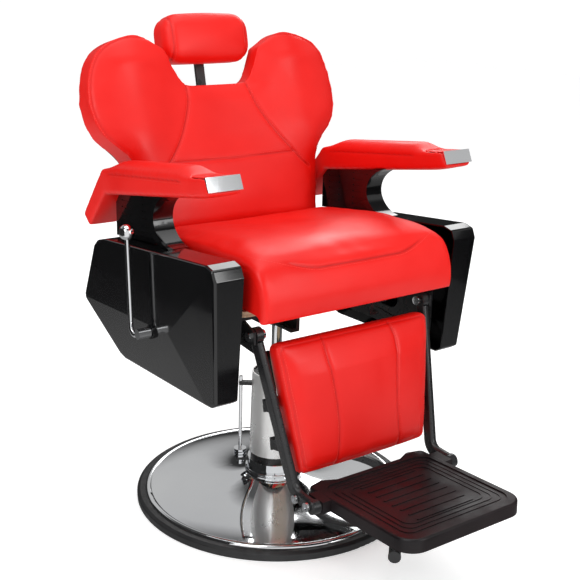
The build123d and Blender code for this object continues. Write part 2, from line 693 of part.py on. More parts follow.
HEAD_CENTRE = 422                       # up the backrest from the seat, and behind its front face
HEAD_BEHIND = 78
HEAD_HALF_WIDTH = 121
HEAD_HEIGHT = 118
HEAD_DEPTH = 88
with BuildPart() as headrest_post:
    with BuildSketch(back_plane(POST_BEHIND + POST_THICKNESS)):
        with Locations((0, (150 + HEAD_CENTRE + 38) / 2)):
            Rectangle(POST_WIDTH, HEAD_CENTRE + 38 - 150)
    extrude(amount=POST_THICKNESS)
save(headrest_post, "headrest_post")

with BuildPart() as headrest_pad:
    with BuildSketch(back_plane(HEAD_BEHIND + HEAD_DEPTH / 2)):
        with Locations((0, HEAD_CENTRE)):
            RectangleRounded(2 * HEAD_HALF_WIDTH, HEAD_HEIGHT, 44)
    extrude(amount=HEAD_DEPTH)
    pillow_faces = headrest_pad.faces().filter_by(Plane(origin=(0, 0, 0), z_dir=LEAN_FRONT))
    fillet(pillow_faces.edges(), 34)
    with BuildSketch(back_plane(POST_BEHIND + POST_THICKNESS + 20)):
        with Locations((0, HEAD_CENTRE - 60)):
            Rectangle(POST_WIDTH + 1, 202)
    extrude(amount=POST_THICKNESS + 20.3, mode=Mode.SUBTRACT)
save(headrest_pad, "headrest_pad")

# ---- leg rest -----------------------------------------------------------------------------------------------------
LEG_TOP = (-283, 505)                   # (y, z) on the front face of the pad
LEG_BOTTOM = (-334, 224)
LEG_LENGTH = hypot(LEG_TOP[0] - LEG_BOTTOM[0], LEG_TOP[1] - LEG_BOTTOM[1])
LEG_UP = ((LEG_TOP[0] - LEG_BOTTOM[0]) / LEG_LENGTH, (LEG_TOP[1] - LEG_BOTTOM[1]) / LEG_LENGTH)
PAD_THICKNESS = 44


def leg_plane(behind=0):
    """The plane of the leg pad's front face, moved back; its origin is at the pad's foot."""
    origin = (0, LEG_BOTTOM[0] + behind * LEG_UP[1], LEG_BOTTOM[1] - behind * LEG_UP[0])
    return Plane(origin=origin, x_dir=(1, 0, 0), z_dir=(0, -LEG_UP[1], LEG_UP[0]))


with BuildPart() as leg_pad:
    with BuildSketch(leg_plane(PAD_THICKNESS)) as pad_outline:
        with BuildLine():
            Polyline((-173, 0), (173, 0), (207, LEG_LENGTH - 4), (-207, LEG_LENGTH - 4), close=True)
        make_face()
        fillet(pad_outline.vertices(), 16)
    extrude(amount=PAD_THICKNESS)
    fillet(leg_pad.faces().sort_by(Axis.Y)[0].edges(), 12)
save(leg_pad, "leg_pad")

with BuildPart() as leg_board:
    with BuildSketch(leg_plane(PAD_THICKNESS + 8.3)) as leg_board_outline:
        with BuildLine():
            Polyline((-160, 14), (160, 14), (190, LEG_LENGTH - 24), (-190, LEG_LENGTH - 24), close=True)
        make_face()
        fillet(leg_board_outline.vertices(), 12)
    extrude(amount=8)
save(leg_board, "leg_board")

ARM_TOP_X = 222
ARM_FOOT_X = 187
STRAPS = ((68, 198), (150, 207.5))      # distance up the pad, and |x| of the leg arms there
for side_name, side in SIDES:
    with BuildPart() as leg_arm:
        with BuildLine() as arm_line:
            FilletPolyline(
                (side * ARM_TOP_X, LEG_HINGE[0] - 4, LEG_HINGE[1] - 14),
                (side * ARM_FOOT_X, -335, FOOT_HINGE[1] + 2),
                (side * ARM_FOOT_X, FOOT_HINGE[0] - 10, FOOT_HINGE[1]),
                radius=34,
            )
        with BuildSketch(Plane(origin=arm_line.line @ 0, x_dir=(1, 0, 0), z_dir=arm_line.line % 0)):
            RectangleRounded(17, 29, 7)
        sweep()
        x_cylinder(side * (ARM_TOP_X - 8), side * (ARM_TOP_X + 8), LEG_HINGE, 17)
        x_cylinder(side * (ARM_FOOT_X - 8.5), side * (ARM_FOOT_X + 8.5), (FOOT_HINGE[0] - 8, FOOT_HINGE[1]), 14.5)
        for along, arm_x in STRAPS:
            with BuildSketch(leg_plane(PAD_THICKNESS + 8.35)):
                with Locations((side * arm_x, along)):
                    Rectangle(10, 22)
            extrude(amount=30)
        x_cylinder(side * 200, side * 240, LEG_HINGE, PIN_RADIUS + RUNNING_CLEARANCE, mode=Mode.SUBTRACT)
        x_cylinder(side * 170, side * 200, FOOT_HINGE, PIN_RADIUS + RUNNING_CLEARANCE, mode=Mode.SUBTRACT)
        x_cylinder(side * 189, side * 200, (-350, FOOT_HINGE[1]), 5, mode=Mode.SUBTRACT)
    save(leg_arm, f"leg_arm_{side_name}")

LINK_PIN = (LEG_HINGE[0] + CRANK[0], LEG_HINGE[1] + CRANK[1])
LINK_LUG = 176                          # |x| of the inner face of the lugs that carry the link pins


def leg_point(along, behind):
    """The (y, z) of a point so far up the leg pad and so far behind its front face."""
    y = LEG_BOTTOM[0] + along * LEG_UP[0] + behind * LEG_UP[1]
    z = LEG_BOTTOM[1] + along * LEG_UP[1] - behind * LEG_UP[0]
    return (y, z)


with BuildPart() as leg_straps:
    for along, arm_x in STRAPS:
        with BuildSketch(leg_plane(PAD_THICKNESS + 8.3 + 5.1)):
            with Locations((0, along)):
                Rectangle(2 * arm_x + 10, 26)
        extrude(amount=5)
    for side_name, side in SIDES:
        lug_inner = side * LINK_LUG
        with BuildSketch(Plane.YZ.offset(lug_inner)):
            with Locations(LINK_PIN):
                Circle(10)
            with BuildLine():
                Polyline(
                    (LINK_PIN[0] - 10, LINK_PIN[1]), leg_point(164, PAD_THICKNESS + 13.4),
                    leg_point(136, PAD_THICKNESS + 13.4), (LINK_PIN[0] + 10, LINK_PIN[1]), close=True,
                )
            make_face()
        extrude(amount=side * 5)
        x_cylinder(lug_inner, side * (LINK_INNER + 6), LINK_PIN, PIN_RADIUS - 1)
        x_cylinder(side * (LINK_INNER + 6), side * (LINK_INNER + 9), LINK_PIN, 8)
save(leg_straps, "leg_straps")

# ---- link bars between the backrest and the leg rest ----------------------------------------------------------
# Both cranks are equal and parallel, so the bars stay parallel to themselves.  Each bar turns on
# the leg rest's pin and has a larger, open hole at the backrest's pin.
OPEN_HOLE = 1.0
for side_name, side in SIDES:
    with BuildPart() as link_bar:
        with BuildSketch(Plane.YZ.offset(side * LINK_INNER)):
            with BuildLine():
                bar_axis = Line(LINK_PIN, CRANK_PIN)
            trace(bar_axis, 16)
            with Locations(LINK_PIN, CRANK_PIN):
                Circle(11)
            with Locations(LINK_PIN):
                Circle(PIN_RADIUS - 1 + RUNNING_CLEARANCE, mode=Mode.SUBTRACT)
            with Locations(CRANK_PIN):
                Circle(PIN_RADIUS - 1 + OPEN_HOLE, mode=Mode.SUBTRACT)
        extrude(amount=side * 5)
    save(link_bar, f"link_bar_{side_name}")

# ---- footplate ----------------------------------------------------------------------------------------------------
FOOT_TILT = 2.9                         # the front is higher than the rear
FOOT_REAR = -337
FOOT_FRONT = -641
FOOT_HALF_WIDTH = 156
FOOT_RIM = 28
FOOT_TOP = 210                          # height of the rim's top halfway along
DECK_DEPTH = 3
foot_middle = (FOOT_REAR + FOOT_FRONT) / 2
foot_length = FOOT_REAR - FOOT_FRONT
foot_top_plane = Plane(origin=(0, foot_middle, FOOT_TOP), x_dir=(1, 0, 0),
                       z_dir=(0, sin(radians(FOOT_TILT)), cos(radians(FOOT_TILT))))
with BuildPart() as footplate:
    with BuildSketch(foot_top_plane.offset(-FOOT_RIM)) as foot_outline:
        with BuildLine():
            Polyline(
                (-FOOT_HALF_WIDTH, -foot_length / 2), (FOOT_HALF_WIDTH, -foot_length / 2),
                (FOOT_HALF_WIDTH, foot_length / 2), (118, foot_length / 2 + 10),
                (86, foot_length / 2 - 6), (-86, foot_length / 2 - 6),
                (-118, foot_length / 2 + 10), (-FOOT_HALF_WIDTH, foot_length / 2), close=True,
            )
        make_face()
        fillet(foot_outline.vertices().group_by(Axis.Y)[0], 42)
        fillet(foot_outline.vertices().filter_by_position(Axis.Y, foot_length / 2 - 12, foot_length), 12)
    extrude(amount=FOOT_RIM)
    fillet(footplate.faces().sort_by(Axis.Z)[-1].edges(), 5)
    with BuildSketch(foot_top_plane.offset(-FOOT_RIM)):
        with Locations((0, 0)):
            RectangleRounded(2 * FOOT_HALF_WIDTH - 18, foot_length - 34, 30)
    extrude(amount=FOOT_RIM - 9, mode=Mode.SUBTRACT)
    with BuildSketch(foot_top_plane.offset(-DECK_DEPTH)):
        RectangleRounded(2 * FOOT_HALF_WIDTH - 30, foot_length - 44, 30)
    extrude(amount=DECK_DEPTH + 1, mode=Mode.SUBTRACT)
    with BuildSketch(foot_top_plane.offset(-DECK_DEPTH - 1.2)):
        for inset in (20, 46, 72):
            RectangleRounded(2 * FOOT_HALF_WIDTH - 30 - inset, foot_length - 44 - inset, 22)
            RectangleRounded(2 * FOOT_HALF_WIDTH - 36 - inset, foot_length - 50 - inset, 19, mode=Mode.SUBTRACT)
    extrude(amount=2.6)
    with BuildSketch(foot_top_plane.offset(-DECK_DEPTH - 1)):
        with GridLocations(0, 24, 1, 8):
            SlotOverall(150, 6)
    extrude(amount=2.6)
    for lug_side in (-1, 1):
        block(lug_side * 148, lug_side * 176.5, -412, -366, 178, 204)
        x_cylinder(lug_side * 140, lug_side * 176.5, FOOT_HINGE, 13)
        x_cylinder(lug_side * 130, lug_side * 177, FOOT_HINGE, PIN_RADIUS, mode=Mode.SUBTRACT)
save(footplate, "footplate")

with BuildPart() as foot_pins:
    for side_name, side in SIDES:
        x_cylinder(side * 140, side * 198, FOOT_HINGE, PIN_RADIUS)
        x_cylinder(side * 198, side * 203, FOOT_HINGE, 9.5)
        x_cylinder(side * 201, side * 204, FOOT_HINGE, 5, mode=Mode.SUBTRACT)
save(foot_pins, "foot_pins")

with BuildPart() as leg_arm_bolts:
    for side_name, side in SIDES:
        x_cylinder(side * 190, side * 198, (-350, FOOT_HINGE[1]), 5)
        x_cylinder(side * 198, side * 203, (-350, FOOT_HINGE[1]), 9)
        with BuildSketch(Plane.YZ.offset(side * 201)):
            with Locations((-350, FOOT_HINGE[1])):
                RegularPolygon(4.5, 6)
        extrude(amount=side * 3, mode=Mode.SUBTRACT)
save(leg_arm_bolts, "leg_arm_bolts")

# ---- recline gas spring -----------------------------------------------------------------------------------------
# It hangs between the front crossbar and the right backrest pin, where its eye has an open hole.
SPRING_ANCHOR = (-150, 500)
spring_axis = Vector(0, CRANK_PIN[0] - SPRING_ANCHOR[0], CRANK_PIN[1] - SPRING_ANCHOR[1])
spring_length = spring_axis.length
spring_plane = Plane(origin=(SPRING_X, SPRING_ANCHOR[0], SPRING_ANCHOR[1]), z_dir=spring_axis.normalized())
TUBE_END = 0.62
SPRING_PLAY = 5.2
tube_length = spring_length * TUBE_END
with BuildPart() as spring_tube:
    x_cylinder(SPRING_X - 6, SPRING_X + 6, SPRING_ANCHOR, 11)
    with BuildSketch(spring_plane.offset(6)):
        Circle(6)
    extrude(amount=14)
    with BuildSketch(spring_plane.offset(16)):
        Circle(11)
    extrude(amount=tube_length - 16)
    with BuildSketch(spring_plane.offset(28)):
        Circle(4.05)
    extrude(amount=tube_length, mode=Mode.SUBTRACT)
    x_cylinder(SPRING_X - 9, SPRING_X + 9, SPRING_ANCHOR, 5.05, mode=Mode.SUBTRACT)
save(spring_tube, "spring_tube")

with BuildPart() as spring_rod:
    with BuildSketch(spring_plane.offset(tube_length - 90)):
        Circle(4)
    extrude(amount=spring_length - tube_length + 90 - 6)
    x_cylinder(SPRING_X - 6, SPRING_X + 6, CRANK_PIN, 15)
    x_cylinder(SPRING_X - 9, SPRING_X + 9, CRANK_PIN, PIN_RADIUS - 1 + SPRING_PLAY, mode=Mode.SUBTRACT)
save(spring_rod, "spring_rod")

with BuildPart() as spring_bracket:
    for inner, outer in ((SPRING_X - 13, SPRING_X - 8), (SPRING_X + 8, SPRING_X + 13)):
        with BuildSketch(Plane.YZ.offset(inner)):
            with BuildLine():
                Polyline(
                    (-190, BOARD_BOTTOM - CROSSBAR), (-166, 494), (-148, 486), (-136, 500),
                    (-166, BOARD_BOTTOM - CROSSBAR), close=True,
                )
            make_face()
        extrude(amount=outer - inner)
    x_cylinder(SPRING_X - 16, SPRING_X + 16, SPRING_ANCHOR, 5)
save(spring_bracket, "spring_bracket")
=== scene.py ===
from math import cos, pi, radians, sin

import bmesh
import bpy
import numpy as np
from mathutils import Matrix, Vector
from mathutils.bvhtree import BVHTree


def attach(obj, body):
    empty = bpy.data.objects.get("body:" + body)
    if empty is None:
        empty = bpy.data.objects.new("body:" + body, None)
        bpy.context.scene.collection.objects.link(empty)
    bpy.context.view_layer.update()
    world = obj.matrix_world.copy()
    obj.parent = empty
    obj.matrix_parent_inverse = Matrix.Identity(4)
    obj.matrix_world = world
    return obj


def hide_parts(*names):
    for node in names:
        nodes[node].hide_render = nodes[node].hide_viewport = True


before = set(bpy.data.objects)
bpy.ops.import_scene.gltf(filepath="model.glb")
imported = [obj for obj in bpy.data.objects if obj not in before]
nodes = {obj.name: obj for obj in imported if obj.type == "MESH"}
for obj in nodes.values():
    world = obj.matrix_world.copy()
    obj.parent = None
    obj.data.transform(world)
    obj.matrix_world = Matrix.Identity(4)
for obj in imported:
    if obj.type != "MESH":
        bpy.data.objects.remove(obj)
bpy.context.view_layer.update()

# ---- studio --------------------------------------------------------------------------------------
# A pale paper floor under soft box lights, with a camera in front of the chair's left arm.  Black
# cloths hang either side, and polished pieces mirror a dark room with a white sheet by the camera.
CAMERA_PLACE = Vector((-1.36014, -1.87691, 1.22568))
CAMERA_TURN = -0.63895
CAMERA_TILT = 0.30110
CAMERA_ROLL = 0.02768
CAMERA_LENS = 66.16

looking_back = Vector((
    sin(CAMERA_TURN) * cos(CAMERA_TILT), -cos(CAMERA_TURN) * cos(CAMERA_TILT), sin(CAMERA_TILT),
))
level_right = Vector((cos(CAMERA_TURN), sin(CAMERA_TURN), 0))
level_up = looking_back.cross(level_right)
camera_right = level_right * cos(CAMERA_ROLL) + level_up * sin(CAMERA_ROLL)
camera_up = level_up * cos(CAMERA_ROLL) - level_right * sin(CAMERA_ROLL)
camera_data = bpy.data.cameras.new("camera")
camera_data.lens = CAMERA_LENS
camera = bpy.data.objects.new("camera", camera_data)
camera.matrix_world = Matrix.Translation(CAMERA_PLACE) @ Matrix(
    (camera_right, camera_up, looking_back)).transposed().to_4x4()
bpy.context.scene.collection.objects.link(camera)
bpy.context.scene.camera = camera
bpy.context.scene.view_settings.view_transform = "Standard"

world = bpy.data.worlds.new("studio")
bpy.context.scene.world = world
world.use_nodes = True
air = world.node_tree.nodes
air_links = world.node_tree.links
backdrop = air["Background"]
direction = air.new("ShaderNodeTexCoord")
split_direction = air.new("ShaderNodeSeparateXYZ")
air_links.new(direction.outputs["Generated"], split_direction.inputs[0])

# What polished pieces mirror, from straight down (0) to straight up (1): a grey floor, a dark
# room, a bright upper wall, a dark rig and a bright ceiling.
MIRRORED_GREYS = (
    (0.27, 0.42), (0.345, 0.05), (0.48, 0.02), (0.62, 0.04),
    (0.69, 0.60), (0.80, 0.62), (0.86, 0.10), (0.93, 0.10),
)
MIRRORED_FLOOR = (0.45, 0.45, 0.45, 1)
WHITE = (1.0, 1.0, 1.0, 1)
bands = air.new("ShaderNodeValToRGB")
bands.color_ramp.elements[0].position = 0.0
bands.color_ramp.elements[0].color = MIRRORED_FLOOR
bands.color_ramp.elements[1].position = 1.0
bands.color_ramp.elements[1].color = WHITE
for place, grey in MIRRORED_GREYS:
    band = bands.color_ramp.elements.new(place)
    band.color = (grey, grey, grey, 1)
height_to_band = air.new("ShaderNodeMapRange")
height_to_band.inputs["From Min"].default_value = -1
air_links.new(split_direction.outputs["Z"], height_to_band.inputs["Value"])
air_links.new(height_to_band.outputs["Result"], bands.inputs["Fac"])

# The camera sees plain white, matt pieces are lit by an even grey, and mirrors see the bands.
ray = air.new("ShaderNodeLightPath")
seen = air.new("ShaderNodeMix")
seen.data_type = "RGBA"
seen.inputs["A"].default_value = (0.75, 0.75, 0.75, 1)
seen.inputs["B"].default_value = (1.25, 1.25, 1.25, 1)
air_links.new(ray.outputs["Is Camera Ray"], seen.inputs["Factor"])
mirrored = air.new("ShaderNodeMix")
mirrored.data_type = "RGBA"
air_links.new(seen.outputs["Result"], mirrored.inputs["A"])

# A white sheet hangs over the front left side of the room, to some 30 degrees above level.
SHEET_SIDE = (-0.58, -0.81, 0)
toward_sheet = air.new("ShaderNodeVectorMath")
toward_sheet.operation = "DOT_PRODUCT"
toward_sheet.inputs[1].default_value = SHEET_SIDE
air_links.new(direction.outputs["Generated"], toward_sheet.inputs[0])
sheet = air.new("ShaderNodeMapRange")
sheet.inputs["From Min"].default_value = 0.40
sheet.inputs["From Max"].default_value = 0.62
air_links.new(toward_sheet.outputs["Value"], sheet.inputs["Value"])
sheet_top = air.new("ShaderNodeMapRange")
sheet_top.inputs["From Min"].default_value = 0.60
sheet_top.inputs["From Max"].default_value = 0.40
air_links.new(split_direction.outputs["Z"], sheet_top.inputs["Value"])
sheet_share = air.new("ShaderNodeMath")
sheet_share.operation = "MULTIPLY"
air_links.new(sheet.outputs["Result"], sheet_share.inputs[0])
air_links.new(sheet_top.outputs["Result"], sheet_share.inputs[1])
lit = air.new("ShaderNodeMix")
lit.data_type = "RGBA"
lit.inputs["B"].default_value = WHITE
air_links.new(bands.outputs["Color"], lit.inputs["A"])
air_links.new(sheet_share.outputs["Value"], lit.inputs["Factor"])
air_links.new(lit.outputs["Result"], mirrored.inputs["B"])
air_links.new(ray.outputs["Is Glossy Ray"], mirrored.inputs["Factor"])
air_links.new(mirrored.outputs["Result"], backdrop.inputs["Color"])
ROOM_STRENGTH = 0.85
backdrop.inputs["Strength"].default_value = ROOM_STRENGTH


def soft_box(name, place, aim, width, height, power):
    """An area light at a place, turned to face an aim."""
    light = bpy.data.lights.new(name, "AREA")
    light.shape = "RECTANGLE"
    light.size = width
    light.size_y = height
    light.energy = power
    lamp = bpy.data.objects.new(name, light)
    turn = (Vector(aim) - Vector(place)).to_track_quat("-Z", "Y")
    lamp.matrix_world = Matrix.Translation(place) @ turn.to_matrix().to_4x4()
    bpy.context.scene.collection.objects.link(lamp)


soft_box("key_light", (-2.2, -1.2, 2.6), (0, 0, 0.6), width=1.6, height=1.6, power=30)
soft_box("strip_light", (0.9, -2.6, 1.7), (0, 0, 0.5), width=0.7, height=1.8, power=20)
soft_box("back_light", (1.8, 1.6, 2.2), (0, 0.2, 0.7), width=1.4, height=1.4, power=22)
soft_box("top_light", (0, 0, 3.0), (0, 0, 0), width=2.4, height=2.4, power=26)

FLOOR_REACH = 9
floor_corners = [(x * FLOOR_REACH, y * FLOOR_REACH, 0) for x, y in ((-1, -1), (1, -1), (1, 1), (-1, 1))]
floor_mesh = bpy.data.meshes.new("studio_floor")
floor_mesh.from_pydata(floor_corners, [], [(0, 1, 2, 3)])
studio_floor = bpy.data.objects.new("studio_floor", floor_mesh)
bpy.context.scene.collection.objects.link(studio_floor)
paper = bpy.data.materials.new("white_paper")
paper.use_nodes = True
paper_shader = paper.node_tree.nodes["Principled BSDF"]
paper_shader.inputs["Base Color"].default_value = (0.93, 0.93, 0.93, 1)
paper_shader.inputs["Roughness"].default_value = 0.9
paper_shader.inputs["Emission Color"].default_value = (1, 1, 1, 1)
paper_shader.inputs["Emission Strength"].default_value = 0.42
floor_mesh.materials.append(paper)
studio_floor.visible_glossy = False

black_cloth = bpy.data.materials.new("black_cloth")
black_cloth.use_nodes = True
cloth_shader = black_cloth.node_tree.nodes["Principled BSDF"]
cloth_shader.inputs["Base Color"].default_value = (0.01, 0.01, 0.01, 1)
cloth_shader.inputs["Roughness"].default_value = 1.0
CLOTH_FOOT = 0.02
for cloth_name, at_x, front_y, back_y, cloth_head in (
    ("cloth_left", -1.15, -0.5, 3.0, 1.5),
    ("cloth_right", 1.3, -2.2, 0.4, 1.2),
):
    corners = (
        (at_x, front_y, CLOTH_FOOT), (at_x, back_y, CLOTH_FOOT),
        (at_x, back_y, cloth_head), (at_x, front_y, cloth_head),
    )
    cloth_mesh = bpy.data.meshes.new(cloth_name)
    cloth_mesh.from_pydata(corners, [], [(0, 1, 2, 3)])
    cloth_mesh.materials.append(black_cloth)
    hung = bpy.data.objects.new(cloth_name, cloth_mesh)
    bpy.context.scene.collection.objects.link(hung)
    hung.visible_camera = False
    hung.visible_diffuse = False
    hung.visible_shadow = False


# ---- chromed base, collar and column -------------------------------------------------------------
# A pressed steel dish on a round plate, a turned collar and a casing over the pump, all chrome
# plated.  The ram is a ground bar that slides up out of the casing.  The ball knob, its lever, the
# leg rest's pins and the ashtrays are chromed too.
def make_finish(name, colour, roughness, metallic=0.0, coat=0.0):
    """A material of one colour; returns it with its node tree and its shader."""
    finish = bpy.data.materials.new(name)
    finish.use_nodes = True
    shader = finish.node_tree.nodes["Principled BSDF"]
    shader.inputs["Base Color"].default_value = (*colour, 1)
    shader.inputs["Roughness"].default_value = roughness
    shader.inputs["Metallic"].default_value = metallic
    shader.inputs["Coat Weight"].default_value = coat
    shader.inputs["Coat Roughness"].default_value = 0.05
    return finish, finish.node_tree, shader


def add_noise(tree, scale, detail=3.0, stretch=(1, 1, 1)):
    """Noise on Object coordinates, stretched along an axis where wanted."""
    place = tree.nodes.new("ShaderNodeTexCoord")
    mapping = tree.nodes.new("ShaderNodeMapping")
    mapping.inputs["Scale"].default_value = stretch
    noise = tree.nodes.new("ShaderNodeTexNoise")
    noise.inputs["Scale"].default_value = scale
    noise.inputs["Detail"].default_value = detail
    tree.links.new(place.outputs["Object"], mapping.inputs["Vector"])
    tree.links.new(mapping.outputs["Vector"], noise.inputs["Vector"])
    return noise.outputs["Fac"]


def vary_roughness(tree, shader, value, low, high):
    """Roughness runs from low to high with a pattern."""
    spread = tree.nodes.new("ShaderNodeMapRange")
    spread.inputs["From Min"].default_value = 0.35
    spread.inputs["From Max"].default_value = 0.65
    spread.inputs["To Min"].default_value = low
    spread.inputs["To Max"].default_value = high
    tree.links.new(value, spread.inputs["Value"])
    tree.links.new(spread.outputs["Result"], shader.inputs["Roughness"])


def vary_colour(tree, shader, value, one, other):
    """Colour runs from one to the other with a pattern."""
    ramp = tree.nodes.new("ShaderNodeValToRGB")
    ramp.color_ramp.elements[0].position = 0.35
    ramp.color_ramp.elements[0].color = (*one, 1)
    ramp.color_ramp.elements[1].position = 0.65
    ramp.color_ramp.elements[1].color = (*other, 1)
    tree.links.new(value, ramp.inputs["Fac"])
    tree.links.new(ramp.outputs["Color"], shader.inputs["Base Color"])


def add_bump(tree, shader, value, strength, depth):
    """Raises the surface by a pattern, on top of any bump that is there already."""
    bump = tree.nodes.new("ShaderNodeBump")
    bump.inputs["Strength"].default_value = strength
    bump.inputs["Distance"].default_value = depth
    tree.links.new(value, bump.inputs["Height"])
    if shader.inputs["Normal"].links:
        tree.links.new(shader.inputs["Normal"].links[0].from_socket, bump.inputs["Normal"])
    tree.links.new(bump.outputs["Normal"], shader.inputs["Normal"])


def give(finish, *names):
    """A carried-over piece takes a better material."""
    for name in names:
        mesh = nodes[name].data
        mesh.materials.clear()
        mesh.materials.append(finish)


CHROME_DULL = (0.80, 0.81, 0.83)
CHROME_BRIGHT = (0.88, 0.89, 0.90)
chrome, chrome_tree, chrome_shader = make_finish("polished_chrome", CHROME_BRIGHT, 0.05, metallic=1.0)
vary_roughness(chrome_tree, chrome_shader, add_noise(chrome_tree, 9, 4), 0.035, 0.085)
vary_colour(chrome_tree, chrome_shader, add_noise(chrome_tree, 3), CHROME_DULL, CHROME_BRIGHT)
add_bump(chrome_tree, chrome_shader, add_noise(chrome_tree, 22, 2), 0.06, 0.001)
give(chrome, "base_dish", "pump_collar", "ram", "side_rod", "recline_lever",
     "recline_knob", "leg_pins", "ashtray_left", "ashtray_right", "rod_discs")

# The casing has a softer shine than the dish, and so stays bright among the dark parts round it.
SATIN_DULL = (0.90, 0.90, 0.89)
SATIN_BRIGHT = (0.94, 0.94, 0.93)
satin, satin_tree, satin_shader = make_finish("satin_chrome", SATIN_BRIGHT, 0.3, metallic=0.75)
vary_roughness(satin_tree, satin_shader, add_noise(satin_tree, 30, 4), 0.26, 0.36)
vary_colour(satin_tree, satin_shader, add_noise(satin_tree, 2), SATIN_DULL, SATIN_BRIGHT)
add_bump(satin_tree, satin_shader, add_noise(satin_tree, 14, 2), 0.03, 0.001)
give(satin, "pump_casing")

# ---- rubber ring and pedal sleeve ----------------------------------------------------------------
# A moulded black rubber ring grips the edge of the base, and a ribbed rubber sleeve is pushed
# over the pedal bar.
RUBBER_DARK = (0.009, 0.009, 0.010)
RUBBER_WORN = (0.020, 0.020, 0.021)
rubber, rubber_tree, rubber_shader = make_finish("black_rubber", RUBBER_DARK, 0.42)
vary_roughness(rubber_tree, rubber_shader, add_noise(rubber_tree, 40, 5), 0.34, 0.55)
vary_colour(rubber_tree, rubber_shader, add_noise(rubber_tree, 7), RUBBER_DARK, RUBBER_WORN)
add_bump(rubber_tree, rubber_shader, add_noise(rubber_tree, 900, 2), 0.25, 0.0003)
give(rubber, "floor_ring", "pedal_sleeve")

# ---- black frame, leg rest arms and linkage ------------------------------------------------------
# Flat steel bars, plates and bent rod, cut, bent and welded, then powder coated in satin black
# with the faint orange peel that baking leaves.
COAT_DARK = (0.011, 0.011, 0.012)
COAT_PALE = (0.022, 0.022, 0.023)
coated, coated_tree, coated_shader = make_finish("black_powder_coat", COAT_DARK, 0.32)
vary_roughness(coated_tree, coated_shader, add_noise(coated_tree, 60, 4), 0.24, 0.40)
vary_colour(coated_tree, coated_shader, add_noise(coated_tree, 5), COAT_DARK, COAT_PALE)
add_bump(coated_tree, coated_shader, add_noise(coated_tree, 1400, 2), 0.22, 0.0003)
give(coated, "base_plate", "pump_band", "pump_cylinder", "casing_cap", "turret", "crossbars",
     "side_plate_left", "side_plate_right", "leg_brackets", "back_bracket_left", "back_bracket_right",
     "headrest_guide", "headrest_post", "leg_arm_left", "leg_arm_right", "leg_straps", "link_bar_left",
     "link_bar_right", "spring_tube", "spring_bracket", "lever_bracket", "rod_brackets", "pump_lever")

# ---- plated pins and bolts -----------------------------------------------------------------------
# Turned and pressed steel, zinc plated, with fine turning marks and a little uneven in brightness.
# The gas spring's rod is finished the same way.
ZINC_DULL = (0.52, 0.53, 0.55)
ZINC_BRIGHT = (0.70, 0.71, 0.72)
zinc, zinc_tree, zinc_shader = make_finish("zinc_plate", ZINC_BRIGHT, 0.28, metallic=1.0)
vary_roughness(zinc_tree, zinc_shader, add_noise(zinc_tree, 120, 4), 0.18, 0.36)
vary_colour(zinc_tree, zinc_shader, add_noise(zinc_tree, 30), ZINC_DULL, ZINC_BRIGHT)
add_bump(zinc_tree, zinc_shader, add_noise(zinc_tree, 300, 2, (1, 12, 12)), 0.2, 0.0002)
give(zinc, "turret_bolts", "back_pins", "back_bolts", "leg_arm_bolts", "foot_pins", "lever_pin",
     "spring_rod")

# ---- side covers and arm panels ------------------------------------------------------------------
# Black plastic mouldings with a piano-black polish, faintly wavy as large mouldings are.  The
# covers hide the steel side plates, and the panels carry the arm pads.
LACQUER_DEEP = (0.002, 0.002, 0.0024)
LACQUER_PALE = (0.0035, 0.0035, 0.004)
lacquer, lacquer_tree, lacquer_shader = make_finish("piano_black", LACQUER_DEEP, 0.09, coat=0.4)
vary_roughness(lacquer_tree, lacquer_shader, add_noise(lacquer_tree, 12, 5), 0.06, 0.15)
vary_colour(lacquer_tree, lacquer_shader, add_noise(lacquer_tree, 4), LACQUER_DEEP, LACQUER_PALE)
add_bump(lacquer_tree, lacquer_shader, add_noise(lacquer_tree, 9, 1), 0.12, 0.002)
give(lacquer, "side_cover_left", "side_cover_right", "arm_panel_left", "arm_panel_right")

# ---- footplate -----------------------------------------------------------------------------------
# A ribbed tread moulded in tough black plastic, with a leather-like grain that hides shoe marks
# and a slight maroon cast.
TREAD_DARK = (0.007, 0.005, 0.006)
TREAD_SCUFFED = (0.016, 0.010, 0.011)
tread, tread_tree, tread_shader = make_finish("grained_tread", TREAD_DARK, 0.36)
tread_shader.inputs["Specular IOR Level"].default_value = 0.3
vary_roughness(tread_tree, tread_shader, add_noise(tread_tree, 18, 6), 0.28, 0.50)
vary_colour(tread_tree, tread_shader, add_noise(tread_tree, 9, 5), TREAD_DARK, TREAD_SCUFFED)
add_bump(tread_tree, tread_shader, add_noise(tread_tree, 700, 3), 0.35, 0.0004)
give(tread, "footplate")

# ---- plywood boards ------------------------------------------------------------------------------
# Bare birch ply under the seat and behind the leg rest: long pale grain with darker streaks, and
# no varnish.
PLY_STREAK = (0.42, 0.29, 0.17)
PLY_PALE = (0.62, 0.47, 0.30)
ply, ply_tree, ply_shader = make_finish("birch_ply", PLY_PALE, 0.6)
vary_colour(ply_tree, ply_shader, add_noise(ply_tree, 14, 6, (1, 12, 12)), PLY_STREAK, PLY_PALE)
vary_roughness(ply_tree, ply_shader, add_noise(ply_tree, 60, 3, (1, 10, 10)), 0.5, 0.72)
add_bump(ply_tree, ply_shader, add_noise(ply_tree, 40, 5, (1, 14, 14)), 0.2, 0.0005)
give(ply, "seat_board", "leg_board")


